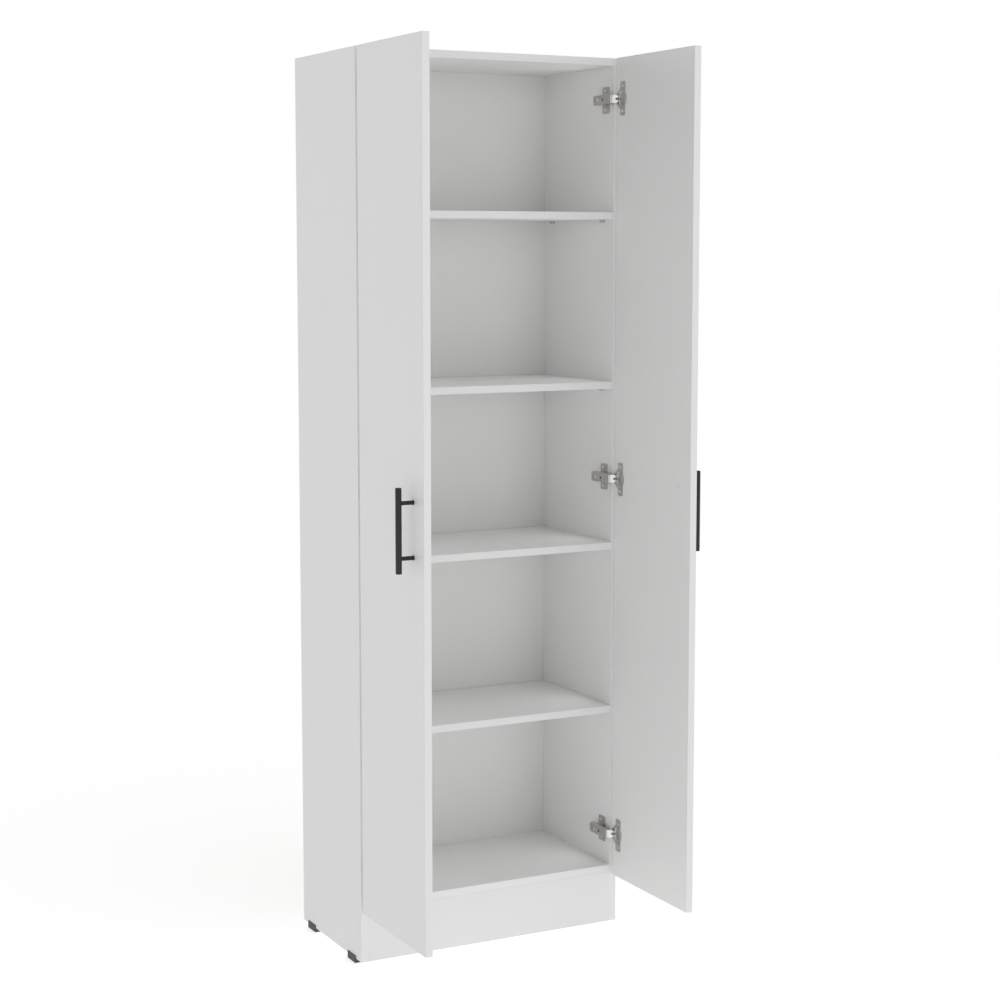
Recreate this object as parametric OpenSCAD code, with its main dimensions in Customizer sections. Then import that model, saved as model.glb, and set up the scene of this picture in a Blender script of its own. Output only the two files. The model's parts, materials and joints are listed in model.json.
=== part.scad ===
// Two-door pantry cabinet with five compartments, with both doors standing open at a right angle.
// Millimetres. The origin is on the floor, in the middle of the width, at the front edges of the carcass.
// +X is to the right, +Y to the back and +Z up. The left side is the mirror image of the right side.

/* [Carcass] */
// Outside width of the cabinet
cab_w = 600; // [480:1:900]
// Height of the side panels
side_h = 1840; // [1500:1:2300]
// Depth of the carcass, from front edge to rear edge
cab_d = 312; // [250:1:450]
// Thickness of the carcass boards
board_t = 15; // [12:0.5:19]
// Height of the plinth board
plinth_h = 110; // [90:1:160]
// Height that the feet lift the side panels off the floor
foot_lift = 9; // [6:0.5:20]

/* [Back panel] */
// Thickness of the back panel
back_t = 3; // [2.5:0.5:5]
// Distance from the carcass's rear edge to the back panel
back_inset = 9; // [8:1:20]
// Depth of the groove that holds the back panel
groove_depth = 5; // [3:0.5:7]
// Play of the back panel in its groove, on each face
groove_play = 0.15; // [0.1:0.05:0.5]

/* [Shelves] */
// How far the lowest shelf stands above an even spacing
shelf_1_shift = 7; // [-40:1:40]
// How far the fixed second shelf stands above an even spacing
shelf_2_shift = 17; // [-40:1:40]
// How far the third shelf stands above an even spacing
shelf_3_shift = 16; // [-40:1:40]
// How far the top shelf stands above an even spacing
shelf_4_shift = 27; // [-40:1:40]
// Side play of an adjustable shelf, at each end
shelf_play = 0.5; // [0.2:0.1:2]
// Gap between the shelves and the back panel
shelf_back_gap = 1; // [0.5:0.5:10]
// Diameter of a shelf pin
pin_d = 5; // [4:0.5:7]
// Depth of a shelf pin's hole
pin_hole = 9; // [6:0.5:10]
// Length of a shelf pin's tongue under the shelf
tongue_l = 8; // [6:0.5:15]
// Width of a shelf pin's tongue
tongue_w = 10; // [7:0.5:15]
// Thickness of a shelf pin's tongue
tongue_t = 6; // [5:0.5:8]
// Distance from a shelf's front and back edges to its pins
pin_inset = 40; // [25:1:80]

/* [Doors] */
// Thickness of a door
door_t = 15; // [15:0.5:22]
// Gap between the shut door and the carcass
door_gap = 2; // [1:0.5:3]
// How far the shut door stops short of the cabinet's outer face
side_reveal = 1; // [0:0.5:3]
// Gap between the two shut doors
centre_gap = 2; // [1:0.5:5]
// How far the doors overlap the plinth board
plinth_overlap = 4; // [2:1:40]
// How far the doors stop short of the cabinet's top
top_reveal = 0; // [0:0.5:5]
// Distance from the carcass's front to the hinge edge of a door that stands open
open_setback = 9; // [8:0.5:14]

/* [Handles] */
// Length of a handle bar
bar_l = 163; // [120:1:400]
// Diameter of a handle bar
bar_d = 12; // [10:0.5:16]
// Distance between the two posts of a handle
post_pitch = 105; // [64:1:320]
// Diameter of a handle post
post_d = 8; // [7:0.5:10]
// Distance from the door's face to the middle of the bar
bar_reach = 31; // [24:1:45]
// Distance from the door's free edge to the handle
handle_inset = 46; // [25:1:100]
// How far the middle of the handle is below the middle of the door
handle_drop = 51; // [-200:1:200]
// Diameter of a handle screw
handle_screw_d = 4; // [3:0.5:5]
// Depth of the screw's hole in a post
post_thread = 12; // [6:1:20]

/* [Hinges] */
// Height of the lowest hinge above the door's bottom edge
hinge_low_in = 92; // [60:1:160]
// Distance of the top hinge below the door's top edge
hinge_high_in = 84; // [60:1:160]
// How far the middle hinge is below the middle of the door
hinge_mid_drop = 7; // [-60:1:60]
// Diameter of the hinge cup
cup_d = 35; // [35:0.5:36]
// Depth of the hinge cup
cup_depth = 11.5; // [11.5:0.1:12]
// Thickness of the hinge cup's sheet
cup_wall = 0.8; // [0.6:0.05:0.9]
// Distance from the door's edge to the cup's bore
cup_tab = 5; // [4:0.5:6]
// Thickness of the cup's flange
flange_t = 1; // [0.8:0.1:1.2]
// Height of the cup's flange
flange_h = 70; // [60:1:80]
// Distance between the cup's two screws
cup_screw_pitch = 52; // [45:1:56]
// Width of the hinge arm
arm_w = 20; // [19:0.5:24]
// Thickness of the hinge arm's sheet
arm_t = 1.2; // [1:0.1:1.3]
// Height of the hinge arm above the open door's inner face
arm_rise = 19; // [18:0.5:20]
// Distance from the carcass's front to the arm's rear end
arm_back = 54; // [50:1:95]
// Distance from the carcass's front to the mounting screws
plate_line = 32; // [28:1:37]
// Distance between the two mounting screws of a plate
plate_pitch = 38; // [32:1:40]
// Height of the mounting plate
plate_h = 55; // [50:1:60]
// Width of the mounting plate's wings
plate_wing_w = 28; // [22:1:30]
// Thickness of the mounting plate
plate_t = 1.5; // [1.2:0.1:2]
// Thickness of the links
link_t = 1.2; // [1:0.1:1.3]
// Diameter of the hinge pins in the arm
arm_pin_d = 2; // [1.6:0.1:2.2]
// Diameter of the hinge pins in the cup
cup_pin_d = 1.8; // [1.4:0.1:1.8]

/* [Fixings] */
// Diameter of a cam lock
cam_d = 15; // [12:0.5:16]
// Board left under a cam lock
cam_skin = 2.5; // [2:0.5:4]
// Distance from the board's end to the cam lock
cam_reach = 34; // [24:1:40]
// Diameter of the cam bolt's shank
bolt_d = 6; // [5:0.5:7]
// Diameter of the cam bolt's thread
bolt_thread_d = 5; // [4:0.5:6]
// Depth of the cam bolt's thread in the side panel
bolt_thread_l = 10; // [8:0.5:10]
// Diameter of a wooden dowel
dowel_d = 8; // [6:0.5:8]
// Length of a dowel in the side panel
dowel_in_side = 9; // [6:0.5:10]
// Length of a dowel in the shelf or panel
dowel_in_end = 20; // [15:1:25]
// Distance from a panel's front to its first cam lock, and from the back panel to the last
cam_inset = 50; // [30:1:90]
// Distance from a cam lock to the dowel beside it
dowel_step = 32; // [24:1:48]

/* [Feet] */
// Length of a foot along the side panel
foot_l = 40; // [30:1:60]
// Distance from the carcass's front or back to a foot
foot_inset = 28; // [10:1:80]
// Thickness of the foot's outer lip
foot_lip_t = 2; // [1.5:0.5:3]
// Height of the lip up the side panel
foot_lip_h = 6; // [4:0.5:12]
// Diameter of a foot's nail
nail_d = 2.4; // [2:0.2:3]
// Length of a foot's nail in the side panel
nail_l = 20; // [12:1:30]

/* [Hidden] */
$fn = 48;

white = "#e9ebea";
nickel = "#9d9c97";
bright_nickel = "#e6e6e2";
black = "#29292b";
steel = "#b9b9b6";
beech = "#d9b98a";

fit = 0.05;            // radial clearance of every pin, screw and dowel in its hole
eps = 0.01;
e = 1;                 // how far a cut runs past the face that it opens

// Carcass planes
half_w = cab_w / 2;
in_x = half_w - board_t;
side_z = foot_lift;
top_z = side_z + side_h;
floor_z = side_z + plinth_h;            // underside of the bottom panel
room_z = floor_z + board_t;             // top of the bottom panel
ceil_z = top_z - board_t;               // underside of the top panel
back_y = cab_d - back_inset - back_t;   // front face of the back panel
even_step = (ceil_z - room_z + board_t) / 5;
shelf_shifts = [shelf_1_shift, shelf_2_shift, shelf_3_shift, shelf_4_shift];
shelf_tops = [for (i = [0:3]) room_z + (i + 1) * even_step + shelf_shifts[i]];
fixed_index = 1;
loose_indices = [0, 2, 3];
shelf_d = back_y - shelf_back_gap;
joint_tops = [room_z, shelf_tops[fixed_index], top_z];
cam_sides = [-1, -1, 1];                // the face of each fixed board that its cam locks open on
cam_ys = [cam_inset, back_y - cam_inset];
dowel_ys = [cam_inset + dowel_step, back_y - cam_inset - dowel_step];
pin_ys = [pin_inset, shelf_d - pin_inset];
plinth_cam_z = side_z + plinth_h * 0.35;
plinth_dowel_z = side_z + plinth_h * 0.75;

// Doors, as they stand open
door_w = half_w - side_reveal - centre_gap / 2;
door_low = floor_z - plinth_overlap;
door_high = top_z - top_reveal;
door_mid = (door_low + door_high) / 2;
handle_z = door_mid - handle_drop;
handle_s = door_w - handle_inset;
post_zs = [handle_z - post_pitch / 2, handle_z + post_pitch / 2];
screw_head_t = 2.2;
hinge_zs = [door_low + hinge_low_in, door_mid - hinge_mid_drop, door_high - hinge_high_in];

// Hinge pivots in plan. S runs from the door's hinge edge along it and t from its inner face into it.
shut_x = half_w - side_reveal;
hinge_throw = 9;                        // how far the hinge moves the door's edge inwards, less the cup's tab
open_x = shut_x - hinge_throw - cup_tab;    // inner face of the open door
function shut(s, t) = [shut_x - s, -door_gap - t];
function opened(s, t) = [open_x + t, -open_setback - s];
// The arm's pivot at x from the open door's inner face, as far from the shut as from the opened cup pivot
function arm_pivot(s, t, x) =
    let (a = shut(s, t), b = opened(s, t), m = (a + b) / 2, n = [a[1] - b[1], b[0] - a[0]])
    m + n * ((open_x - x - m[0]) / n[0]);
outer_s = cup_tab + 5.5;
outer_t = 2;
outer_x = 15;
inner_s = cup_tab + 2.5;
inner_t = 2.2;
inner_x = 7;
outer_a = arm_pivot(outer_s, outer_t, outer_x);
outer_c = opened(outer_s, outer_t);
inner_a = arm_pivot(inner_s, inner_t, inner_x);
inner_c = opened(inner_s, inner_t);
cup_s = cup_tab + cup_d / 2;
cup_in_r = cup_d / 2 - cup_wall - fit;
arm_x = open_x - arm_rise;
eye_r = 1.9;
cup_eye_r = 1.65;
nose_r = 2.3;
edge_play = 0.3;                        // play beside the links, the block and the pins
slot_play = 0.2;                        // play of a screw in a slot
link_half = arm_w / 2 - arm_t - edge_play;  // half the width of the outer link
link_tip_half = 7;                      // half its width in the cup
slot_half = 2.6;                        // half the width of the slot that the inner link passes
inner_half = 2;                         // half the width of the inner link's strip
block_back = 48;
block_front = 26;
fix_screw_y = 34;
adjust_screw_y = 16;
key_hole_y = 44;
cup_band = [17, 36];                    // the flange's band, measured along the door
cup_screw_s = 28;
gusset_s = 3.5;                         // the gusset's edge towards the door's hinge edge
gusset_halves = [9, 24];                // half the gusset's width there and at the band
flange_corner = 4;
plate_corner = 4;
boss_half = 7.4;                        // half the distance between the bosses that hold the cup's pins
outer_pin_end = 10.5;                   // distance from the hinge's middle to the outer pins' far ends
inner_pin_end = 6.9;
pin_cap = 0.4;                          // how far the arm's pins stand out of its cheeks
outer_rise = 2.2;                       // rise of the outer link's arch
solid_share = 0.55;                     // share of the outer link that is one plate, before it forks
inner_bend = [4.8, -11.2];              // the inner link's bend, counted from its pivot in the arm
inner_eye_d = 1.6;

// Screws, nails and cams
plate_screw_d = 4;
plate_screw_l = 10;
plate_head_d = 7;
plate_head_t = 1.6;
cup_screw_d = 3.2;
cup_screw_l = 10;
cup_head_d = 6.5;
cup_head_t = 1.4;
fix_d = 5;
fix_l = 11;
fix_head_d = 8;
fix_head_t = 2;
fix_seat = 1;                           // how far the fixing screw's shank stands above the arm
key_hole_d = 6.5;
adjust_d = 4;
adjust_l = 11;
adjust_seat = 0.8;                      // how far the adjusting screw stands above the arm
cross_l = 3.6;                          // length, width and depth of a cross-head recess
cross_w = 0.9;
cross_depth = 0.9;
spigot_d = 4;                           // spigot of a handle post in its bar
spigot_depth = 0.3;                     // play at the spigot's end
foot_ys = [foot_inset, cab_d - foot_inset - foot_l];
foot_head_d = 7;
foot_head_t = 3;
foot_head_sink = 1;                     // how far a nail's head is above the floor
cap_t = 0.8;                            // thickness of the cap over a cam lock
cam_h = board_t - cam_skin - cap_t;
cam_slot_w = 1.4;
cam_slot_depth = 1.5;
bolt_head_l = 4;
bolt_collar_l = 6;
bore_end = 0.5;                         // room at the bottom of a dowel's bore
screw_end = 1;                          // room at the bottom of a screw's bore
bolt_play = 1;                          // play round a cam bolt in the board and in its lock
back_play = 0.5;                        // play of the back panel's edges in its groove

module box(low, high) {
    translate(low)
        cube(high - low);
}

module rod_x(p, l, d) {
    translate(p)
        rotate([0, 90, 0])
            cylinder(h = l, d = d);
}

module rod_y(p, l, d) {
    translate(p)
        rotate([-90, 0, 0])
            cylinder(h = l, d = d);
}

module both_sides() {
    children();
    mirror([1, 0, 0])
        children();
}

module left() {
    mirror([1, 0, 0])
        children();
}

// Places a child drawn at a hinge's own height at all three hinges
module at_hinges() {
    for (z = hinge_zs)
        translate([0, 0, z])
            children();
}

// Local frame of the open right door: x = t, y = -s
module on_door() {
    translate([open_x, -open_setback, 0])
        children();
}

// ---- Carcass boards ----

module side_panel() {
    bolt_bore_l = bolt_thread_l + screw_end + e;
    color(white)
    difference() {
        box([in_x, 0, side_z], [half_w, cab_d, top_z]);
        box([in_x - e, back_y - groove_play, room_z - groove_depth],
            [in_x + groove_depth, back_y + back_t + groove_play, ceil_z + groove_depth]);
        for (t = joint_tops) {
            for (y = cam_ys)
                rod_x([in_x - e, y, t - board_t / 2], bolt_bore_l, bolt_thread_d + 2 * fit);
            for (y = dowel_ys)
                rod_x([in_x - e, y, t - board_t / 2], dowel_in_side + bore_end + e, dowel_d + 2 * fit);
        }
        rod_x([in_x - e, board_t / 2, plinth_cam_z], bolt_bore_l, bolt_thread_d + 2 * fit);
        rod_x([in_x - e, board_t / 2, plinth_dowel_z], dowel_in_side + bore_end + e, dowel_d + 2 * fit);
        for (i = loose_indices, y = pin_ys)
            rod_x([in_x - e, y, pin_z(i)], pin_hole + e, pin_d + 2 * fit);
        at_hinges()
            for (z = [-1, 1] * plate_pitch / 2)
                rod_x([in_x - e, plate_line, z], plate_screw_l + screw_end + e, plate_screw_d + 2 * fit);
        for (y = foot_ys)
            translate([in_x + board_t / 2, y + foot_l / 2, side_z - e])
                cylinder(h = nail_l + screw_end + e, d = nail_d + 2 * fit);
    }
}

function pin_z(i) = shelf_tops[i] - board_t - tongue_t / 2;

// Bores for the cam locks, cam bolts and dowels in the right end of a fixed board
module end_bores(top, cam_side) {
    z = top - board_t / 2;
    for (y = cam_ys) {
        translate([in_x - cam_reach, y, z - cam_side * (board_t / 2 - cam_skin)])
            mirror([0, 0, cam_side < 0 ? 1 : 0])
                cylinder(h = board_t - cam_skin + e, d = cam_d + 2 * fit);
        rod_x([in_x - cam_reach, y, z], cam_reach + e, bolt_d + bolt_play);
    }
    for (y = dowel_ys)
        rod_x([in_x - dowel_in_end - bore_end, y, z], dowel_in_end + bore_end + e, dowel_d + 2 * fit);
}

module fixed_board(index, depth) {
    color(white)
    difference() {
        box([-in_x, 0, joint_tops[index] - board_t], [in_x, depth, joint_tops[index]]);
        both_sides()
            end_bores(joint_tops[index], cam_sides[index]);
        children();
    }
}

module back_groove(low, high) {
    box([-half_w, back_y - groove_play, low], [half_w, back_y + back_t + groove_play, high]);
}

module top_panel() {
    fixed_board(2, cab_d)
        back_groove(ceil_z - e, ceil_z + groove_depth);
}

module bottom_panel() {
    fixed_board(0, cab_d)
        back_groove(room_z - groove_depth, room_z + e);
}

module fixed_shelf() {
    fixed_board(1, shelf_d);
}

module loose_shelf(i) {
    color(white)
        box([-in_x + shelf_play, 0, shelf_tops[i] - board_t], [in_x - shelf_play, shelf_d, shelf_tops[i]]);
}

module plinth_board() {
    color(white)
    difference() {
        box([-in_x, 0, side_z], [in_x, board_t, floor_z]);
        both_sides() {
            rod_y([in_x - cam_reach, cam_skin, plinth_cam_z], board_t, cam_d + 2 * fit);
            rod_x([in_x - cam_reach, board_t / 2, plinth_cam_z], cam_reach + e, bolt_d + bolt_play);
            rod_x([in_x - dowel_in_end - bore_end, board_t / 2, plinth_dowel_z],
                  dowel_in_end + bore_end + e, dowel_d + 2 * fit);
        }
    }
}

module back_panel() {
    grip = groove_depth - back_play;
    color(white)
        box([-in_x - grip, back_y, room_z - grip], [in_x + grip, back_y + back_t, ceil_z + grip]);
}

// ---- Fixings ----

// A cam lock with its axis on Z, its bottom at z = 0 and the bolt coming in along +X
module cam_lock() {
    bolt_height = board_t / 2 - cam_skin;
    difference() {
        cylinder(h = cam_h, d = cam_d);
        rod_x([-(bolt_d + bolt_play) / 2, 0, bolt_height], cam_d, bolt_d + bolt_play);
        for (turn = [0, 90])
            rotate([0, 0, turn])
                box([-cam_d / 3, -cam_slot_w / 2, cam_h - cam_slot_depth],
                    [cam_d / 3, cam_slot_w / 2, cam_h + e]);
    }
}

module at_cams() {
    both_sides() {
        for (i = [0:2], y = cam_ys)
            translate([in_x - cam_reach, y, joint_tops[i] - board_t / 2])
                mirror([0, 0, cam_sides[i] < 0 ? 1 : 0])
                    translate([0, 0, cam_skin - board_t / 2])
                        children();
        translate([in_x - cam_reach, cam_skin, plinth_cam_z])
            rotate([-90, 0, 0])
                children();
    }
}

module cam_locks() {
    color(steel)
        at_cams()
            cam_lock();
}

module cam_caps() {
    color(white)
        at_cams()
            translate([0, 0, cam_h])
                cylinder(h = cap_t, d = cam_d);
}

// A cam bolt with its axis on X, from the side panel's face at x = 0
module cam_bolt() {
    rod_x([0, 0, 0], bolt_thread_l, bolt_thread_d);
    rod_x([-cam_reach + bolt_head_l, 0, 0], cam_reach - bolt_head_l, bolt_d - 2);
    rod_x([-cam_reach, 0, 0], bolt_head_l, bolt_d);
    rod_x([-bolt_collar_l, 0, 0], bolt_collar_l, bolt_d);
}

module cam_bolts() {
    color(steel)
    both_sides() {
        for (t = joint_tops, y = cam_ys)
            translate([in_x, y, t - board_t / 2])
                cam_bolt();
        translate([in_x, board_t / 2, plinth_cam_z])
            cam_bolt();
    }
}

module dowel() {
    rod_x([-dowel_in_end, 0, 0], dowel_in_end + dowel_in_side, dowel_d);
}

module wooden_dowels() {
    color(beech)
    both_sides() {
        for (t = joint_tops, y = dowel_ys)
            translate([in_x, y, t - board_t / 2])
                dowel();
        translate([in_x, board_t / 2, plinth_dowel_z])
            dowel();
    }
}

module shelf_pins() {
    color(steel)
    both_sides()
        for (i = loose_indices, y = pin_ys) {
            rod_x([in_x - eps, y, pin_z(i)], pin_hole - 1, pin_d);
            box([in_x - tongue_l, y - tongue_w / 2, pin_z(i) - tongue_t / 2],
                [in_x, y + tongue_w / 2, pin_z(i) + tongue_t / 2]);
        }
}

// ---- Feet ----

module foot(y) {
    color(black)
    difference() {
        union() {
            box([in_x, y, 0], [half_w + foot_lip_t, y + foot_l, side_z]);
            box([half_w, y, side_z - e], [half_w + foot_lip_t, y + foot_l, side_z + foot_lip_h]);
        }
        translate([in_x + board_t / 2, y + foot_l / 2, -e]) {
            cylinder(h = foot_lift + 2 * e, d = nail_d + 2 * fit);
            cylinder(h = foot_head_t + e, d = foot_head_d + 2 * fit);
        }
    }
}

module foot_nails() {
    color(steel)
    both_sides()
        for (y = foot_ys)
            translate([in_x + board_t / 2, y + foot_l / 2, foot_head_sink]) {
                cylinder(h = foot_lift - foot_head_sink + nail_l, d = nail_d);
                cylinder(h = foot_head_t - foot_head_sink, d = foot_head_d);
            }
}

// ---- Doors and handles ----

module door() {
    color(white)
    on_door()
    difference() {
        box([0, -door_w, door_low], [door_t, 0, door_high]);
        for (z = hinge_zs) {
            rod_x([-e, -cup_s, z], cup_depth + fit + e, cup_d);
            for (dz = [-1, 1] * cup_screw_pitch / 2)
                rod_x([-e, -cup_screw_s, z + dz], cup_screw_l + screw_end + e, cup_screw_d + 2 * fit);
        }
        for (z = post_zs)
            rod_x([-e, -handle_s, z], door_t + 2 * e, handle_screw_d + 2 * fit);
    }
}

module handle_bar() {
    color(black)
    on_door()
    difference() {
        translate([door_t + bar_reach, -handle_s, handle_z - bar_l / 2])
            cylinder(h = bar_l, d = bar_d);
        for (z = post_zs)
            rod_x([door_t + bar_reach - bar_d, -handle_s, z], bar_d + spigot_depth, spigot_d + 2 * fit);
    }
}

module handle_posts() {
    color(black)
    on_door()
    difference() {
        for (z = post_zs) {
            difference() {
                rod_x([door_t, -handle_s, z], bar_reach, post_d);
                translate([door_t + bar_reach, -handle_s, z - post_d])
                    cylinder(h = 2 * post_d, d = bar_d + 2 * fit);
            }
            rod_x([door_t + post_thread + 2, -handle_s, z], bar_reach - post_thread - 2, spigot_d);
        }
        for (z = post_zs)
            rod_x([door_t - e, -handle_s, z], post_thread + e, handle_screw_d + 2 * fit);
    }
}

module handle_screws() {
    color(steel)
    on_door()
        for (z = post_zs) {
            rod_x([-eps, -handle_s, z], door_t + post_thread - 2, handle_screw_d);
            difference() {
                rod_x([-screw_head_t, -handle_s, z], screw_head_t, 2 * handle_screw_d);
                cross_slot([-screw_head_t, -handle_s, z]);
            }
        }
}

// ---- Hinges, drawn for the right door with the hinge's middle at z = 0 ----

module pressed_cup() {
    color(nickel)
    on_door()
    difference() {
        union() {
            difference() {
                union() {
                    rod_x([-flange_t, -cup_s, 0], flange_t + cup_depth, cup_d - 2 * fit);
                    translate([-flange_t, 0, 0])
                        rotate([90, 0, 90])
                            linear_extrude(flange_t)
                                flange_outline();
                }
                rod_x([-flange_t - e, -cup_s, 0], flange_t + e + cup_depth - cup_wall, 2 * cup_in_r);
            }
            cup_bosses();
        }
        for (z = [-1, 1] * cup_screw_pitch / 2)
            rod_x([-flange_t - e, -cup_screw_s, z], flange_t + 2 * e, cup_screw_d + 2 * fit);
        translate([outer_t, -outer_s, -outer_pin_end])
            cylinder(h = 2 * outer_pin_end, d = cup_pin_d + 2 * fit);
        translate([inner_t, -inner_s, -inner_pin_end])
            cylinder(h = 2 * inner_pin_end, d = cup_pin_d + 2 * fit);
    }
}

// The flange: a band with rounded ends, a ring and a gusset towards the door's edge
module flange_outline() {
    translate([-cup_s, 0])
        circle(d = cup_d + 1);
    for (m = [0, 1])
        mirror([0, m]) {
            polygon([[-gusset_s, -eps], [-gusset_s, gusset_halves[0]], [-cup_band[0] - 2, gusset_halves[1]],
                     [-cup_s, gusset_halves[1]], [-cup_s, -eps]]);
            translate([-cup_band[1], 0])
                square([cup_band[1] - cup_band[0], flange_h / 2 - flange_corner]);
            translate([-cup_band[1] + flange_corner, 0])
                square([cup_band[1] - cup_band[0] - 2 * flange_corner, flange_h / 2]);
            for (s = [cup_band[0] + flange_corner, cup_band[1] - flange_corner])
                translate([-s, flange_h / 2 - flange_corner])
                    circle(r = flange_corner);
        }
}

module cup_bosses() {
    intersection() {
        rod_x([0, -cup_s, 0], cup_depth - eps, 2 * cup_in_r + 0.4);
        for (m = [0, 1])
            mirror([0, 0, m])
                box([0.4, -outer_s - 2, boss_half], [5, -inner_s + 2, cup_d / 2]);
    }
}

module cheek_outline() {
    tip = inner_a + [3, 0];
    difference() {
        union() {
            translate(inner_a)
                circle(r = 3);
            polygon([[arm_x, outer_a[1] - nose_r], outer_a + [0, -nose_r], inner_a + [1.5, -2.6],
                     tip, tip + [0, 5], [arm_x + 10, 8], [arm_x + 10, arm_back], [arm_x, arm_back]]);
            translate(outer_a)
                circle(r = nose_r);
        }
        for (p = [outer_a, inner_a])
            translate(p)
                circle(d = arm_pin_d + 2 * fit);
    }
}

module hinge_arm() {
    color(nickel)
    difference() {
        union() {
            for (m = [0, 1])
                mirror([0, 0, m])
                    translate([0, 0, arm_w / 2 - arm_t])
                        linear_extrude(arm_t)
                            cheek_outline();
            box([arm_x, outer_a[1] - nose_r, -arm_w / 2], [arm_x + arm_t, arm_back, arm_w / 2]);
        }
        rod_x([arm_x - e, adjust_screw_y, 0], arm_t + 2 * e, adjust_d + 2 * fit);
        rod_x([arm_x - e, key_hole_y, 0], arm_t + 2 * e, key_hole_d);
        rod_x([arm_x - e, fix_screw_y, 0], arm_t + 2 * e, fix_d + 2 * slot_play);
        box([arm_x - e, fix_screw_y, -fix_d / 2 - slot_play],
            [arm_x + arm_t + e, key_hole_y, fix_d / 2 + slot_play]);
    }
}

module mounting_plate() {
    wing_y = plate_line - plate_wing_w / 2;
    wing_end = wing_y + plate_wing_w;
    half_h = plate_h / 2;
    base_x = in_x - plate_t;
    color(nickel)
    difference() {
        union() {
            box([base_x, wing_y, -half_h + plate_corner], [in_x, wing_end, half_h - plate_corner]);
            box([base_x, wing_y + plate_corner, -half_h], [in_x, wing_end - plate_corner, half_h]);
            for (y = [wing_y + plate_corner, wing_end - plate_corner], z = [-1, 1] * (half_h - plate_corner))
                rod_x([base_x, y, z], plate_t, 2 * plate_corner);
            box([base_x, wing_y, -arm_w / 2 + 1.5], [in_x, block_back, arm_w / 2 - 1.5]);
            box([arm_x + arm_t + fit, block_front, -link_half],
                [in_x, block_back, link_half]);
        }
        for (z = [-1, 1] * plate_pitch / 2)
            rod_x([base_x - e, plate_line, z], plate_t + 2 * e, plate_screw_d + 2 * fit);
        rod_x([arm_x, fix_screw_y, 0], fix_l + 2, fix_d + 2 * fit);
    }
}

// The outer link's strip in plan: a shallow arch from the arm's pivot to the cup's
module arch_strip(from, to, rise, share) {
    n = 10;
    run = to - from;
    out = [run[1], -run[0]] / norm(run);
    function centre(k) = from + run * k + out * rise * sin(180 * k);
    steps = [for (i = [0:n]) share * i / n];
    left_edge = [for (k = steps) centre(k) + out * link_t / 2];
    right_edge = [for (i = [n:-1:0]) centre(steps[i]) - out * link_t / 2];
    polygon(concat(left_edge, right_edge));
}

module outer_link() {
    difference() {
        union() {
            for (m = [0, 1])
                mirror([0, 0, m])
                    translate([0, 0, slot_half])
                        linear_extrude(link_tip_half - slot_half) {
                            arch_strip(outer_a, outer_c, outer_rise, 1);
                            translate(outer_c)
                                circle(r = cup_eye_r);
                        }
            translate([0, 0, -link_half])
                linear_extrude(2 * link_half) {
                    arch_strip(outer_a, outer_c, outer_rise, solid_share);
                    translate(outer_a)
                        circle(r = eye_r);
                }
        }
        translate([outer_a[0], outer_a[1], -arm_w])
            cylinder(h = 2 * arm_w, d = arm_pin_d + 2 * fit);
        translate([outer_c[0], outer_c[1], -arm_w])
            cylinder(h = 2 * arm_w, d = cup_pin_d + 2 * fit);
    }
}

module outer_links() {
    color(bright_nickel)
        at_hinges()
            outer_link();
}

module strip(from, to) {
    run = to - from;
    out = [run[1], -run[0]] / norm(run) * link_t / 2;
    polygon([from + out, to + out, to - out, from - out]);
}

// The inner link bends round the cup's rim, and its end in the cup is the open pivot
module inner_link() {
    difference() {
        union() {
            translate([0, 0, -link_half])
                linear_extrude(2 * link_half)
                    translate(inner_a)
                        circle(r = eye_r);
            translate([0, 0, -inner_half])
                linear_extrude(2 * inner_half) {
                    strip(inner_a, inner_a + inner_bend);
                    translate(inner_a + inner_bend)
                        circle(d = link_t);
                    strip(inner_a + inner_bend, inner_c);
                    translate(inner_c)
                        circle(d = inner_eye_d);
                }
        }
        translate([inner_a[0], inner_a[1], -arm_w])
            cylinder(h = 2 * arm_w, d = arm_pin_d + 2 * fit);
    }
}

module inner_links() {
    color(nickel)
        at_hinges()
            inner_link();
}

module arm_pins() {
    color(steel)
        at_hinges()
            for (p = [outer_a, inner_a])
                translate([p[0], p[1], -arm_w / 2 - pin_cap])
                    cylinder(h = arm_w + 2 * pin_cap, d = arm_pin_d);
}

module cup_pins() {
    color(steel)
        at_hinges()
            for (m = [0, 1])
                mirror([0, 0, m]) {
                    cup_pin(outer_c, outer_pin_end);
                    cup_pin(inner_c, inner_pin_end);
                }
}

module cup_pin(p, end) {
    start = slot_half + edge_play;
    translate([p[0], p[1], start])
        cylinder(h = end - start - 0.1, d = cup_pin_d);
}

module plate_screws() {
    color(steel)
        at_hinges()
            for (z = [-1, 1] * plate_pitch / 2)
                difference() {
                    union() {
                        rod_x([in_x - plate_t, plate_line, z], plate_t + plate_screw_l, plate_screw_d);
                        rod_x([in_x - plate_t - plate_head_t, plate_line, z], plate_head_t, plate_head_d);
                    }
                    cross_slot([in_x - plate_t - plate_head_t, plate_line, z]);
                }
}

// A cross-head recess in a screw head whose face looks along -X
module cross_slot(p) {
    for (turn = [0, 90])
        translate(p)
            rotate([turn, 0, 0])
                box([-e, -cross_w / 2, -cross_l / 2], [cross_depth, cross_w / 2, cross_l / 2]);
}

module arm_screws() {
    color(steel)
        at_hinges() {
            difference() {
                union() {
                    rod_x([arm_x - fix_seat, fix_screw_y, 0], fix_l + fix_seat, fix_d);
                    rod_x([arm_x - fix_head_t, fix_screw_y, 0], fix_head_t, fix_head_d);
                }
                cross_slot([arm_x - fix_head_t, fix_screw_y, 0]);
            }
            difference() {
                rod_x([arm_x - adjust_seat, adjust_screw_y, 0], adjust_l, adjust_d);
                cross_slot([arm_x - adjust_seat, adjust_screw_y, 0]);
            }
        }
}

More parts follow.
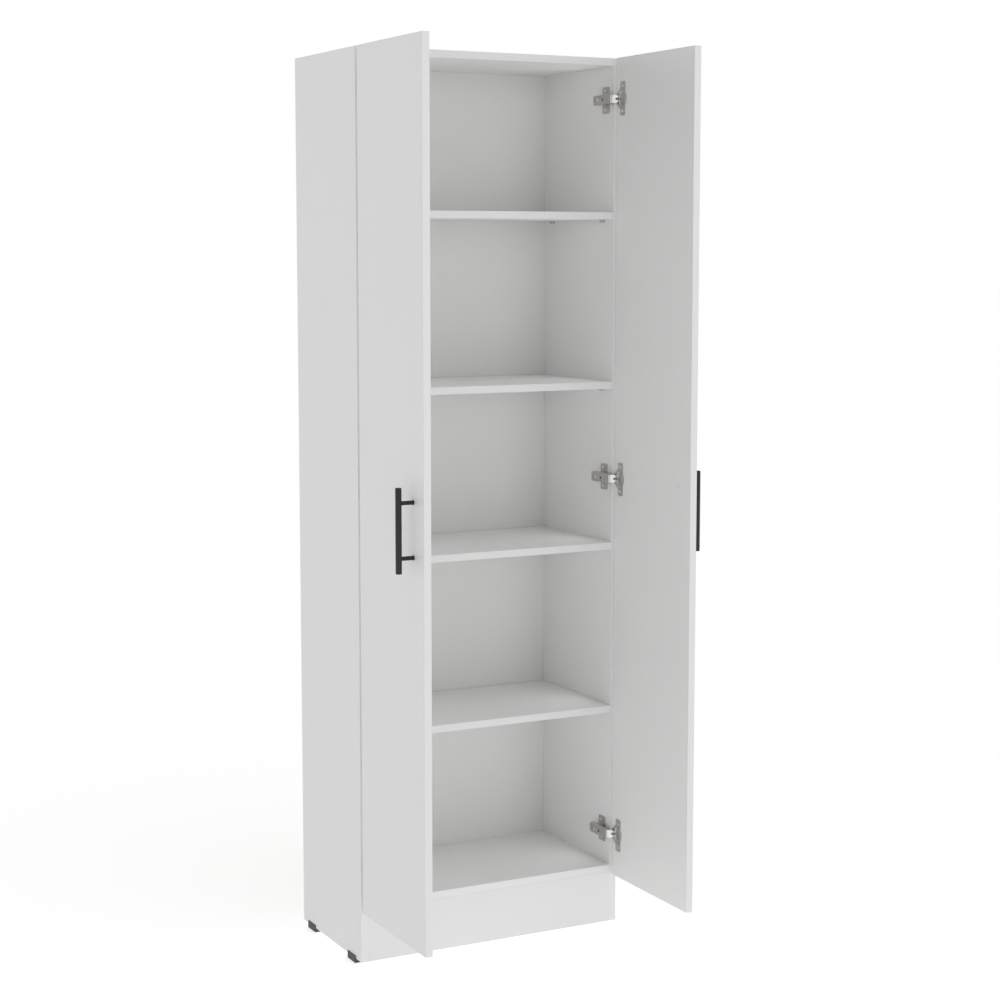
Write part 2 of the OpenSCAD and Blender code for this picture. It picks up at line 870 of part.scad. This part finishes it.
module cup_screws() {
    color(steel)
    on_door()
        for (z = hinge_zs, dz = [-1, 1] * cup_screw_pitch / 2)
            difference() {
                union() {
                    rod_x([-flange_t, -cup_screw_s, z + dz], flange_t + cup_screw_l, cup_screw_d);
                    rod_x([-flange_t - cup_head_t, -cup_screw_s, z + dz], cup_head_t, cup_head_d);
                }
                cross_slot([-flange_t - cup_head_t, -cup_screw_s, z + dz]);
            }
}

module at_hinge(i) {
    translate([0, 0, hinge_zs[i]])
        children();
}

left() side_panel();  // left_side
side_panel();  // right_side
top_panel();
bottom_panel();
plinth_board();
back_panel();
loose_shelf(0);  // low_shelf
fixed_shelf();
loose_shelf(2);  // high_shelf
loose_shelf(3);  // top_shelf
left() foot(foot_ys[0]);  // left_front_foot
foot(foot_ys[0]);  // right_front_foot
left() foot(foot_ys[1]);  // left_back_foot
foot(foot_ys[1]);  // right_back_foot
foot_nails();
cam_locks();
cam_bolts();
cam_caps();
wooden_dowels();
shelf_pins();
left() door();  // left_door
door();  // right_door
left() handle_bar();  // left_handle_bar
handle_bar();  // right_handle_bar
left() handle_posts();  // left_handle_posts
handle_posts();  // right_handle_posts
left() handle_screws();  // left_handle_screws
handle_screws();  // right_handle_screws
left() at_hinge(0) pressed_cup();  // left_low_cup
left() at_hinge(1) pressed_cup();  // left_mid_cup
left() at_hinge(2) pressed_cup();  // left_high_cup
at_hinge(0) pressed_cup();  // right_low_cup
at_hinge(1) pressed_cup();  // right_mid_cup
at_hinge(2) pressed_cup();  // right_high_cup
left() at_hinge(0) hinge_arm();  // left_low_arm
left() at_hinge(1) hinge_arm();  // left_mid_arm
left() at_hinge(2) hinge_arm();  // left_high_arm
at_hinge(0) hinge_arm();  // right_low_arm
at_hinge(1) hinge_arm();  // right_mid_arm
at_hinge(2) hinge_arm();  // right_high_arm
left() at_hinge(0) mounting_plate();  // left_low_plate
left() at_hinge(1) mounting_plate();  // left_mid_plate
left() at_hinge(2) mounting_plate();  // left_high_plate
at_hinge(0) mounting_plate();  // right_low_plate
at_hinge(1) mounting_plate();  // right_mid_plate
at_hinge(2) mounting_plate();  // right_high_plate
left() outer_links();  // left_outer_links
outer_links();  // right_outer_links
left() inner_links();  // left_inner_links
inner_links();  // right_inner_links
left() arm_pins();  // left_arm_pins
arm_pins();  // right_arm_pins
left() cup_pins();  // left_cup_pins
cup_pins();  // right_cup_pins
left() plate_screws();  // left_plate_screws
plate_screws();  // right_plate_screws
left() arm_screws();  // left_arm_screws
arm_screws();  // right_arm_screws
left() cup_screws();  // left_cup_screws
cup_screws();  // right_cup_screws
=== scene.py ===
import json
import math

import bmesh
import bpy
from mathutils import Matrix, Vector

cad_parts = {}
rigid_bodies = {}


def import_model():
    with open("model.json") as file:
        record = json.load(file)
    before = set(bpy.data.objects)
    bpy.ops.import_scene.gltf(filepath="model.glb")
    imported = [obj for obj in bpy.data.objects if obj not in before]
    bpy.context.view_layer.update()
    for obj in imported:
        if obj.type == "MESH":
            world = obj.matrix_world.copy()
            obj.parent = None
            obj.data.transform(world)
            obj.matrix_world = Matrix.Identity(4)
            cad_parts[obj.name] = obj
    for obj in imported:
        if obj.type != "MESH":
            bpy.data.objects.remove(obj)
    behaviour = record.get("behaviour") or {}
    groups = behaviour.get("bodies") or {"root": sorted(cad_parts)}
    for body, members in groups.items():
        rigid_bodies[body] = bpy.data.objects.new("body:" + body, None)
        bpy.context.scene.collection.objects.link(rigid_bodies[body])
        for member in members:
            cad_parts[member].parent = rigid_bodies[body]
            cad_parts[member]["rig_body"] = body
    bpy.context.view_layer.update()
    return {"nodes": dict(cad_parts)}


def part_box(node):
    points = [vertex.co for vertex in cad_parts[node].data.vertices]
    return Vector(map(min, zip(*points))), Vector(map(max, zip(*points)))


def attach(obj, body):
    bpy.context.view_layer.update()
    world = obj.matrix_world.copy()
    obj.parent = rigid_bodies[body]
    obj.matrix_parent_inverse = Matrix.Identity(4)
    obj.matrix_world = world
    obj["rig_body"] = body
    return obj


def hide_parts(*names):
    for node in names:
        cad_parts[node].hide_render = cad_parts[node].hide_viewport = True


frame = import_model()
nodes = frame["nodes"]
mm = 0.001
doorSides = ("left", "right")
hingeLevels = ("low", "mid", "high")


# A Wire is one output of a shader node, and sums written on it add their Math nodes
class Wire:
    def __init__(self, tree, socket=None):
        self.tree = tree
        self.socket = socket

    # settings are set first, then the values or links of the inputs
    def make(self, kind, settings=None, inputs=None, output=0):
        node = self.tree.nodes.new(kind)
        for name, value in (settings or {}).items():
            if name == "stops":
                for spot, _ in value[2:]:
                    node.color_ramp.elements.new(spot)
                for stop, (spot, color) in zip(node.color_ramp.elements, value):
                    stop.position = spot
                    stop.color = color
            else:
                setattr(node, name, value)
        for name, value in (inputs or {}).items():
            if isinstance(value, Wire):
                self.tree.links.new(value.socket, node.inputs[name])
            else:
                node.inputs[name].default_value = value
        return Wire(self.tree, node.outputs[output])

    def sum(self, operation, first, second):
        return self.make("ShaderNodeMath", {"operation": operation}, {0: first, 1: second})

    def __add__(self, other):
        return self.sum("ADD", self, other)

    def __sub__(self, other):
        return self.sum("SUBTRACT", self, other)

    def __rsub__(self, other):
        return self.sum("SUBTRACT", other, self)

    def __mul__(self, other):
        return self.sum("MULTIPLY", self, other)

    def __gt__(self, other):
        return self.sum("GREATER_THAN", self, other)

    __radd__ = __add__
    __rmul__ = __mul__

    # the wire is the share of the second colour
    def mix(self, first, second):
        return self.make("ShaderNodeMix", {"data_type": "RGBA"}, {0: self, 6: first, 7: second},
                         output=2)

    # 0 below low and 1 above high, smooth between
    def step(self, low, high):
        return self.make("ShaderNodeMapRange", {"interpolation_type": "SMOOTHSTEP"},
                         {0: self, 1: low, 2: high})


def shade(value):
    if isinstance(value, (int, float)):
        value = (value, value, value)
    return (*value, 1.0)


# Every recipe gets the start of its tree and the Object coordinates, and returns what varies
def makeMaterial(name, recipe, **fixed):
    material = bpy.data.materials.new(name)
    material.use_nodes = True
    tree = material.node_tree
    shader = tree.nodes["Principled BSDF"]
    start = Wire(tree)
    place = start.make("ShaderNodeTexCoord", output="Object")
    for socket, value in fixed.items():
        shader.inputs[socket.replace("_", " ")].default_value = value
    for socket, wire in recipe(start, place).items():
        tree.links.new(wire.socket, shader.inputs[socket])
    return material


def noise(start, place, scale, detail=2.0, roughness=0.5, stretch=None):
    if stretch:
        place = start.make("ShaderNodeMapping", inputs={"Vector": place, "Scale": stretch})
    return start.make("ShaderNodeTexNoise", inputs={"Vector": place, "Scale": scale,
                                                    "Detail": detail, "Roughness": roughness})


# every look with a relief names its strength and its height
def bump(start, height, look):
    return start.make("ShaderNodeBump", inputs={"Height": height, "Strength": look["bump"],
                                                "Distance": look["bumpHigh"]})


melamineLook = {"color": (0.845, 0.845, 0.841), "shift": 0.012,
                "cloud": 3.5, "cloudShare": 0.8, "pimple": 1500, "pimpleShare": 0.35,
                "smear": 14, "rough": 0.42, "roughSpan": 0.10, "bump": 0.10, "bumpHigh": 0.04 * mm}
bandLook = {**melamineLook, "color": (0.865, 0.865, 0.862), "shift": 0.010,
            "pimple": 2200, "bump": 0.06, "rough": 0.36}
screwPaint = {**melamineLook, "color": (0.84, 0.84, 0.836), "shift": 0.008,
              "pimple": 2600, "bump": 0.05, "rough": 0.40}


def melamine(look):
    def recipe(start, place):
        cloud = noise(start, place, look["cloud"], detail=3)
        grain = noise(start, place, look["pimple"], detail=1)
        share = (cloud - 0.5) * look["cloudShare"] + (grain - 0.5) * look["pimpleShare"] + 0.5
        low = shade([part * (1 - look["shift"]) for part in look["color"]])
        high = shade([part * (1 + look["shift"]) for part in look["color"]])
        smear = noise(start, place, look["smear"], detail=3)
        return {"Base Color": share.mix(low, high),
                "Roughness": smear * look["roughSpan"] + (look["rough"] - look["roughSpan"] / 2),
                "Normal": bump(start, grain, look)}
    return recipe


seamLook = {"low": 0.36, "high": (0.46, 0.45, 0.43), "grain": 900, "bump": 0.2, "bumpHigh": 0.05 * mm}


def gluedSeam(start, place):
    grain = noise(start, place, seamLook["grain"])
    return {"Base Color": grain.mix(shade(seamLook["low"]), shade(seamLook["high"])),
            "Normal": bump(start, grain, seamLook)}


chipLook = {"chip": 330.0, "stretch": (1, 1, 1.6), "chipShare": 0.7, "grit": 240, "gritShare": 0.5,
            "shift": 0.1, "bump": 0.5, "bumpHigh": 0.3 * mm,
            "woods": ((0.0, shade((0.24, 0.15, 0.085))), (0.45, shade((0.46, 0.33, 0.20))),
                      (1.0, shade((0.66, 0.51, 0.35))))}


def chipboard(start, place):
    spread = start.make("ShaderNodeMapping", inputs={"Vector": place, "Scale": chipLook["stretch"]})
    chips = start.make("ShaderNodeTexVoronoi", inputs={"Vector": spread, "Scale": chipLook["chip"]},
                       output="Color")
    chipTone = start.make("ShaderNodeSeparateColor", inputs={0: chips})
    grit = noise(start, place, chipLook["grit"], detail=4)
    tone = chipTone * chipLook["chipShare"] + grit * chipLook["gritShare"] - chipLook["shift"]
    return {"Base Color": start.make("ShaderNodeValToRGB", {"stops": chipLook["woods"]}, {0: tone}),
            "Normal": bump(start, tone, chipLook)}


# painted white towards the shelves, bare pressed fibre towards the wall
backLook = {"fibre": 420, "fibreShare": 0.6, "cloud": 7, "bareLow": (0.20, 0.125, 0.07),
            "bareHigh": (0.36, 0.25, 0.16), "paintLow": (0.79, 0.79, 0.784),
            "paintHigh": (0.81, 0.81, 0.804), "grainShare": 0.3, "rough": 0.4, "roughSpan": 0.1,
            "bareRough": 0.35, "grainBump": 0.2, "bump": 0.35, "bumpHigh": 0.15 * mm}


def hardboard(start, place):
    middle = (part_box("back_panel")[0].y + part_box("back_panel")[1].y) / 2
    depth = start.make("ShaderNodeSeparateXYZ", inputs={0: place}, output="Y")
    rear = depth > middle
    fibre = noise(start, place, backLook["fibre"], detail=5, roughness=0.65)
    cloud = noise(start, place, backLook["cloud"], detail=3)
    grain = noise(start, place, melamineLook["pimple"], detail=1)
    bareTone = fibre * backLook["fibreShare"] + cloud * (1 - backLook["fibreShare"])
    paintTone = grain * backLook["grainShare"] + cloud * (1 - backLook["grainShare"])
    bare = bareTone.mix(shade(backLook["bareLow"]), shade(backLook["bareHigh"]))
    paint = paintTone.mix(shade(backLook["paintLow"]), shade(backLook["paintHigh"]))
    relief = fibre * rear + grain * (1 - rear) * backLook["grainBump"]
    return {"Base Color": rear.mix(paint, bare),
            "Roughness": rear * backLook["bareRough"] + cloud * backLook["roughSpan"]
            + backLook["rough"],
            "Normal": bump(start, relief, backLook)}


powderLook = {"low": (0.012, 0.012, 0.013), "high": (0.018, 0.018, 0.019), "cloud": 90,
              "cloudDetail": 2, "grain": 2400, "rough": 0.52, "roughSpan": 0.08,
              "bump": 0.35, "bumpHigh": 0.05 * mm}
blackPlasticLook = {"low": (0.050, 0.050, 0.052), "high": (0.072, 0.072, 0.074), "cloud": 60,
                    "cloudDetail": 3, "grain": 3000, "rough": 0.5, "roughSpan": 0.12,
                    "bump": 0.3, "bumpHigh": 0.04 * mm}
whitePlasticLook = {"low": 0.64, "high": 0.68, "cloud": 50, "cloudDetail": 2, "grain": 2600,
                    "rough": 0.38, "roughSpan": 0.1, "bump": 0.15, "bumpHigh": 0.03 * mm}


def fineGrained(look):
    def recipe(start, place):
        grain = noise(start, place, look["grain"], detail=2)
        cloud = noise(start, place, look["cloud"], detail=look["cloudDetail"])
        return {"Base Color": cloud.mix(shade(look["low"]), shade(look["high"])),
                "Roughness": cloud * look["roughSpan"] + look["rough"],
                "Normal": bump(start, grain, look)}
    return recipe


steelLook = {"cloud": 85, "cloudRough": 0.12, "lines": 900, "linesStretch": (1.0, 0.08, 1.0),
             "linesRough": 0.10, "bump": 0.35, "bumpHigh": 0.03 * mm}
nickelLook = {**steelLook, "low": (0.50, 0.485, 0.465), "high": (0.58, 0.565, 0.545), "rough": 0.38}
# the cup's bowl: the same nickel painted paler and less metallic, painted light against the shade in
# the bowl
bowlPaintedLightLook = {**steelLook, "low": (0.70, 0.69, 0.67), "high": (0.78, 0.77, 0.75), "rough": 0.45}
brightLook = {**steelLook, "low": (0.72, 0.71, 0.69), "high": (0.82, 0.81, 0.79), "rough": 0.22,
              "bump": 0.2}
zincLook = {**steelLook, "low": (0.56, 0.56, 0.55), "high": (0.70, 0.70, 0.69), "rough": 0.30}
darkLook = {**steelLook, "low": (0.06, 0.06, 0.06), "high": (0.10, 0.10, 0.10), "rough": 0.4}


def platedSteel(look):
    middle = (look["cloudRough"] + look["linesRough"]) / 2

    def recipe(start, place):
        cloud = noise(start, place, look["cloud"], detail=3)
        lines = noise(start, place, look["lines"], detail=3, roughness=0.6,
                      stretch=look["linesStretch"])
        return {"Base Color": cloud.mix(shade(look["low"]), shade(look["high"])),
                "Roughness": cloud * look["cloudRough"] + lines * look["linesRough"]
                + (look["rough"] - middle),
                "Normal": bump(start, lines, look)}
    return recipe


beechLook = {"low": (0.52, 0.36, 0.20), "high": (0.70, 0.53, 0.34), "grain": 300,
             "stretch": (0.08, 1.0, 1.0), "bump": 0.3, "bumpHigh": 0.1 * mm}


def beechWood(start, place):
    grain = noise(start, place, beechLook["grain"], detail=4, roughness=0.6,
                  stretch=beechLook["stretch"])
    return {"Base Color": grain.mix(shade(beechLook["low"]), shade(beechLook["high"])),
            "Normal": bump(start, grain, beechLook)}


finish = {
    "melamine": makeMaterial("melamine", melamine(melamineLook)),
    "edgeBand": makeMaterial("edgeBand", melamine(bandLook)),
    "seam": makeMaterial("gluedSeam", gluedSeam, Roughness=0.7),
    "chipboard": makeMaterial("chipboard", chipboard, Roughness=0.9),
    "backBoard": makeMaterial("backBoard", hardboard),
    "powderCoat": makeMaterial("blackPowderCoat", fineGrained(powderLook)),
    "mouldedBlack": makeMaterial("mouldedBlack", fineGrained(blackPlasticLook)),
    "mouldedWhite": makeMaterial("mouldedWhite", fineGrained(whitePlasticLook)),
    "paintedWhite": makeMaterial("paintedWhite", melamine(screwPaint)),
    "nickel": makeMaterial("nickelPlate", platedSteel(nickelLook), Metallic=1.0),
    # painted light: a paler copy of the nickel for the shaded bowl of the cup
    "bowlPaintedLight": makeMaterial("bowlPaintedLight", platedSteel(bowlPaintedLightLook), Metallic=0.2),
    "brightNickel": makeMaterial("brightNickel", platedSteel(brightLook), Metallic=1.0),
    "zinc": makeMaterial("zincPlate", platedSteel(zincLook), Metallic=1.0),
    "darkSteel": makeMaterial("darkSteel", platedSteel(darkLook), Metallic=1.0),
    "beech": makeMaterial("beech", beechWood, Roughness=0.6),
}
print("finishes made:", len(finish))

meshWork = {"merge": 0.001 * mm, "flat": 0.4, "smooth": 32, "touch": 0.01 * mm,
            "normalWeight": 80}


# a copy of a node's loose triangles, merged into clean faces
def solidOf(node):
    solid = bmesh.new()
    solid.from_mesh(nodes[node].data)
    bmesh.ops.remove_doubles(solid, verts=solid.verts, dist=meshWork["merge"])
    bmesh.ops.dissolve_limit(solid, angle_limit=math.radians(meshWork["flat"]), verts=solid.verts,
                             edges=solid.edges, delimit={"NORMAL"})
    return solid


def roundEdges(solid, edges, offset, segments, clamped=False):
    bmesh.ops.bevel(solid, geom=edges, offset=offset, offset_type="OFFSET", affect="EDGES",
                    segments=segments, profile=0.5, material=-1, clamp_overlap=clamped)


def pieceFrom(solid, name, looks, body, node, smoothAngle=meshWork["smooth"]):
    mesh = bpy.data.meshes.new(name)
    solid.to_mesh(mesh)
    solid.free()
    for look in looks:
        mesh.materials.append(finish[look])
    mesh.shade_smooth()
    mesh.set_sharp_from_angle(angle=math.radians(smoothAngle))
    piece = bpy.data.objects.new(name, mesh)
    bpy.context.scene.collection.objects.link(piece)
    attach(piece, body)
    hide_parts(node)
    return piece


def addModifier(piece, kind, **settings):
    modifier = piece.modifiers.new(kind.title(), kind)
    for name, value in settings.items():
        setattr(modifier, name, value)


def camel(node):
    first, *others = node.split("_")
    return first + "".join(word.title() for word in others)


# Boards: every outer edge is rounded, and a banded face has its strip and a thin glue line
boardLook = {"round": 0.5 * mm, "roundSteps": 3, "sharp": 1.0, "band": 1.0 * mm,
             "glue": 0.15 * mm, "rawDepth": 0.02 * mm, "facing": 0.9, "smooth": 40}
boardFinishes = ("melamine", "edgeBand", "seam", "chipboard")
allRound = ("-y", "+y", "-z", "+z")
# node: banded faces, raw faces
boards = {
    "left_side": (("-y", "+z"), ("+y",)),
    "right_side": (("-y", "+z"), ("+y",)),
    "top_panel": (("-y",), ("+y",)),
    "bottom_panel": (("-y",), ("+y",)),
    "plinth_board": (("-z",), ()),
    "low_shelf": (("-y",), ("+y", "-x", "+x")),
    "fixed_shelf": (("-y",), ("+y",)),
    "high_shelf": (("-y",), ("+y", "-x", "+x")),
    "top_shelf": (("-y",), ("+y", "-x", "+x")),
    "left_door": (allRound, ()),
    "right_door": (allRound, ()),
}


# "-y" gives axis 1, sign -1 and the place of that face
def sideOf(box, name):
    axis = "xyz".index(name[1])
    sign = -1 if name[0] == "-" else 1
    return axis, sign, box[0 if sign < 0 else 1][axis]


def outerEdges(solid, box):
    outer = []
    for edge in solid.edges:
        middle = (edge.verts[0].co + edge.verts[1].co) / 2
        touched = sum(min(abs(middle[axis] - box[0][axis]), abs(middle[axis] - box[1][axis]))
                      < meshWork["touch"] for axis in range(3))
        if (touched == 2 and len(edge.link_faces) == 2
                and edge.calc_face_angle(0) > boardLook["sharp"]):
            outer.append(edge)
    return outer


def makeBoard(node, banded, raw):
    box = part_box(node)
    solid = solidOf(node)
    roundEdges(solid, outerEdges(solid, box), boardLook["round"], boardLook["roundSteps"],
               clamped=True)
    bandEnd = boardLook["band"]
    glueEnd = bandEnd + boardLook["glue"]
    for name in banded:
        axis, sign, face = sideOf(box, name)
        for cut in (bandEnd, glueEnd):
            spot = Vector((0, 0, 0))
            spot[axis] = face - sign * cut
            normal = Vector((0, 0, 0))
            normal[axis] = 1
            bmesh.ops.bisect_plane(solid, geom=solid.verts[:] + solid.edges[:] + solid.faces[:],
                                   dist=meshWork["merge"], plane_co=spot, plane_no=normal)
    plain, band, glue, chips = range(len(boardFinishes))
    for face in solid.faces:
        centre = face.calc_center_median()
        for name in raw:
            axis, sign, place = sideOf(box, name)
            if (abs(centre[axis] - place) < boardLook["rawDepth"]
                    and abs(face.normal[axis]) > boardLook["facing"]):
                face.material_index = chips
        for name in banded:
            axis, sign, place = sideOf(box, name)
            depth = abs(centre[axis] - place)
            if depth < bandEnd:
                face.material_index = band
            elif depth < glueEnd and face.material_index == plain:
                face.material_index = glue
    piece = pieceFrom(solid, camel(node) + "Board", boardFinishes, nodes[node]["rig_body"],
                      node, boardLook["smooth"])
    addModifier(piece, "WEIGHTED_NORMAL", keep_sharp=True, weight=meshWork["normalWeight"])


for node, (banded, raw) in boards.items():
    makeBoard(node, banded, raw)
nodes["back_panel"].data.materials.clear()
nodes["back_panel"].data.materials.append(finish["backBoard"])
print("boards made:", len(boards))

handleLook = {"endRound": 1.0 * mm, "endSteps": 4, "collar": 0.7 * mm, "collarLength": 2.2 * mm,
              "collarRound": 0.5 * mm, "barSides": 64, "postSides": 32}


def makeRod(solid, start, end, radius, rounding, sides):
    axis = end - start
    turn = axis.to_track_quat("Z", "Y").to_matrix().to_4x4()
    made = bmesh.ops.create_cone(solid, cap_ends=True, cap_tris=False, segments=sides,
                                 radius1=radius, radius2=radius, depth=axis.length,
                                 matrix=Matrix.Translation((start + end) / 2) @ turn)
    if rounding:
        rodVerts = set(made["verts"])
        rims = [edge for edge in solid.edges if edge.verts[0] in rodVerts
                and any(len(face.verts) > 4 for face in edge.link_faces)]
        roundEdges(solid, rims, rounding, handleLook["endSteps"])


def makeHandle(side):
    low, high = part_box(side + "_handle_bar")
    middle = (low + high) / 2
    bar = bmesh.new()
    makeRod(bar, Vector((middle.x, middle.y, low.z)), Vector((middle.x, middle.y, high.z)),
            (high.x - low.x) / 2, handleLook["endRound"], handleLook["barSides"])
    pieceFrom(bar, side + "HandleBar", ("powderCoat",), side + "_door",
              side + "_handle_bar")
    low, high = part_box(side + "_handle_posts")
    radius = (high.y - low.y) / 2
    sign = 1 if side == "right" else -1
    doorFace = low.x if side == "right" else high.x
    posts = bmesh.new()
    for height in (low.z + radius, high.z - radius):
        foot = Vector((doorFace, middle.y, height))
        makeRod(posts, foot, Vector((middle.x, middle.y, height)), radius, 0,
                handleLook["postSides"])
        makeRod(posts, foot, foot + Vector((sign * handleLook["collarLength"], 0, 0)),
                radius + handleLook["collar"], handleLook["collarRound"], handleLook["postSides"])
    pieceFrom(posts, side + "HandlePosts", ("powderCoat",), side + "_door",
              side + "_handle_posts")


for side in doorSides:
    makeHandle(side)
print("handles made")

# Feet, hinges and screws: the width that their edges are softened by
softened = {"foot": 0.7 * mm, "cup": 0.3 * mm, "arm": 0.3 * mm, "plate": 0.4 * mm,
            "link": 0.25 * mm, "screw": 0.25 * mm, "footSteps": 3, "steps": 2, "from": 35}
sheetLook = {"bend": 1.4 * mm, "bendSteps": 5, "longEdge": 15 * mm, "flange": 1.1 * mm,
             "darkScrewBefore": 22 * mm}


def makeSoftened(node, looks, width, steps=softened["steps"], shape=None):
    solid = solidOf(node)
    if shape:
        shape(solid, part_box(node))
    piece = pieceFrom(solid, camel(node) + "Part", looks, nodes[node]["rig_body"], node)
    addModifier(piece, "BEVEL", width=width, segments=steps, limit_method="ANGLE",
                angle_limit=math.radians(softened["from"]), harden_normals=True,
                use_clamp_overlap=True)


# distance from the face that looks at the other door
def inward(point, box):
    low, high = box
    return point.x - low.x if low.x > 0 else high.x - point.x


# the arm's two long corners are round, as in bent sheet
def bendChannel(solid, box):
    touch = meshWork["touch"]
    corners = [edge for edge in solid.edges
               if abs(edge.verts[0].co.y - edge.verts[1].co.y) > sheetLook["longEdge"]
               and all(inward(vert.co, box) < touch for vert in edge.verts)
               and all(min(vert.co.z - box[0].z, box[1].z - vert.co.z) < touch for vert in edge.verts)]
    roundEdges(solid, corners, sheetLook["bend"], sheetLook["bendSteps"])


# the bowl of the cup is painted paler than its flange: painted light that offsets the shade inside the
# bowl
def paintLightInBowl(solid, box):
    for face in solid.faces:
        if inward(face.calc_center_median(), box) > sheetLook["flange"]:
            face.material_index = 1


# the adjusting screw is black, the fixing screw bright
def darkAdjuster(solid, box):
    for face in solid.faces:
        if face.calc_center_median().y < sheetLook["darkScrewBefore"]:
            face.material_index = 1


for side in doorSides:
    for place in ("front", "back"):
        makeSoftened(side + "_" + place + "_foot", ["mouldedBlack"],
                     softened["foot"], softened["footSteps"])
    for level in hingeLevels:
        hinge = side + "_" + level + "_"
        # the cup's bowl gets the paler nickel, painted light against its shade
        makeSoftened(hinge + "cup", ["nickel", "bowlPaintedLight"], softened["cup"],
                     shape=paintLightInBowl)
        makeSoftened(hinge + "arm", ["nickel"], softened["arm"], shape=bendChannel)
        makeSoftened(hinge + "plate", ["nickel"], softened["plate"])
    makeSoftened(side + "_outer_links", ["brightNickel"], softened["link"])
    makeSoftened(side + "_inner_links", ["nickel"], softened["link"])
    makeSoftened(side + "_handle_screws", ["paintedWhite"], softened["screw"])
    makeSoftened(side + "_plate_screws", ["brightNickel"], softened["screw"])
    makeSoftened(side + "_cup_screws", ["brightNickel"], softened["screw"])
    makeSoftened(side + "_arm_screws", ["brightNickel", "darkSteel"],
                 softened["screw"], shape=darkAdjuster)

# these keep their solids and only get a finish
kept = {"foot_nails": "zinc", "cam_locks": "zinc", "cam_bolts": "zinc", "cam_caps": "mouldedWhite",
        "wooden_dowels": "beech", "shelf_pins": "zinc", "left_arm_pins": "zinc",
        "right_arm_pins": "zinc", "left_cup_pins": "zinc", "right_cup_pins": "zinc"}
for node, look in kept.items():
    nodes[node].data.materials.clear()
    nodes[node].data.materials.append(finish[look])
print("hinges, feet and fixings made")

studio = {"horizon": 1.0, "zenith": 0.22, "bandTop": 0.13, "zenithFrom": 0.30,
          "topLight": 0.75, "topSpread": 75, "topFrom": (0.1, -0.15, 1.0),
          "front": 0.22, "frontSpread": 70, "frontFrom": (0.12, -1.0, 0.55)}
floorLook = {"half": 60, "tone": 0.62, "toneSpan": 0.01, "cloud": 0.8, "glow": 0.68}
fillLook = {"power": 0.09, "clear": 0.05, "wide": 0.06, "deep": 0.085, "offWall": 0.004}


def paleFloor(start, place):
    cloud = noise(start, place, floorLook["cloud"], detail=2)
    return {"Base Color": cloud.mix(shade(floorLook["tone"] - floorLook["toneSpan"]),
                                    shade(floorLook["tone"]))}


def makeFloor():
    mesh = bpy.data.meshes.new("floor")
    ground = bmesh.new()
    bmesh.ops.create_grid(ground, x_segments=1, y_segments=1, size=floorLook["half"])
    ground.to_mesh(mesh)
    ground.free()
    mesh.materials.append(makeMaterial("paleFloor", paleFloor, Roughness=0.9,
                                       Specular_IOR_Level=0.0, Emission_Color=shade(1.0),
                                       Emission_Strength=floorLook["glow"]))
    floor = bpy.data.objects.new("floor", mesh)
    bpy.context.scene.collection.objects.link(floor)


# bright near the horizon, dim overhead
def makeStudioSky():
    world = bpy.data.worlds.new("studio")
    world.use_nodes = True
    start = Wire(world.node_tree)
    sky = start.make("ShaderNodeTexCoord", output="Generated")
    up = start.make("ShaderNodeSeparateXYZ", inputs={0: sky}, output="Z")
    share = up.step(studio["bandTop"], studio["zenithFrom"])
    light = share * (studio["zenith"] - studio["horizon"]) + studio["horizon"]
    background = world.node_tree.nodes["Background"]
    world.node_tree.links.new(light.socket, background.inputs["Strength"])
    background.inputs["Color"].default_value = shade(1.0)
    bpy.context.scene.world = world


def addSoftLight(name, power, spread, comesFrom):
    light = bpy.data.lights.new(name, "SUN")
    light.energy = power
    light.angle = math.radians(spread)
    lamp = bpy.data.objects.new(name, light)
    lamp.rotation_euler = Vector(comesFrom).to_track_quat("Z", "Y").to_euler()
    bpy.context.scene.collection.objects.link(lamp)


# a small lit card on each side wall of every compartment: shut doors hide them all
def addFillCards(below, above):
    floorOf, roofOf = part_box(below)[1].z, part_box(above)[0].z
    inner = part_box("right_side")[0].x
    for sign in (-1, 1):
        light = bpy.data.lights.new(below + "Fill", "AREA")
        light.shape = "RECTANGLE"
        light.size = roofOf - floorOf - 2 * fillLook["clear"]
        light.size_y = fillLook["wide"]
        light.energy = fillLook["power"]
        lamp = bpy.data.objects.new(below + "Fill", light)
        lamp.location = (sign * (inner - fillLook["offWall"]), fillLook["deep"],
                         (floorOf + roofOf) / 2)
        lamp.rotation_euler = (0, sign * math.pi / 2, 0)
        lamp.visible_camera = False
        lamp.visible_glossy = False
        bpy.context.scene.collection.objects.link(lamp)


makeFloor()
makeStudioSky()
tiers = ("bottom_panel", "low_shelf", "fixed_shelf", "high_shelf", "top_shelf", "top_panel")
for below, above in zip(tiers, tiers[1:]):
    addFillCards(below, above)
addSoftLight("softTop", studio["topLight"], studio["topSpread"], studio["topFrom"])
addSoftLight("softFront", studio["front"], studio["frontSpread"], studio["frontFrom"])

view = {"place": (-1.9255, -3.7551, 1.4544), "turn": 0.4776, "tilt": -0.1108, "lens": 74.41,
        "film": 36, "shift": -0.02, "farthest": 200}
camera = bpy.data.cameras.new("camera")
camera.lens = view["lens"]
camera.sensor_width = view["film"]
camera.shift_y = view["shift"]
camera.clip_end = view["farthest"]
cameraObject = bpy.data.objects.new("camera", camera)
cameraObject.location = view["place"]
cameraObject.rotation_euler = (math.pi / 2 + view["tilt"], 0, -view["turn"])
bpy.context.scene.collection.objects.link(cameraObject)
bpy.context.scene.camera = cameraObject
bpy.context.scene.view_settings.view_transform = "Standard"
print("studio made")
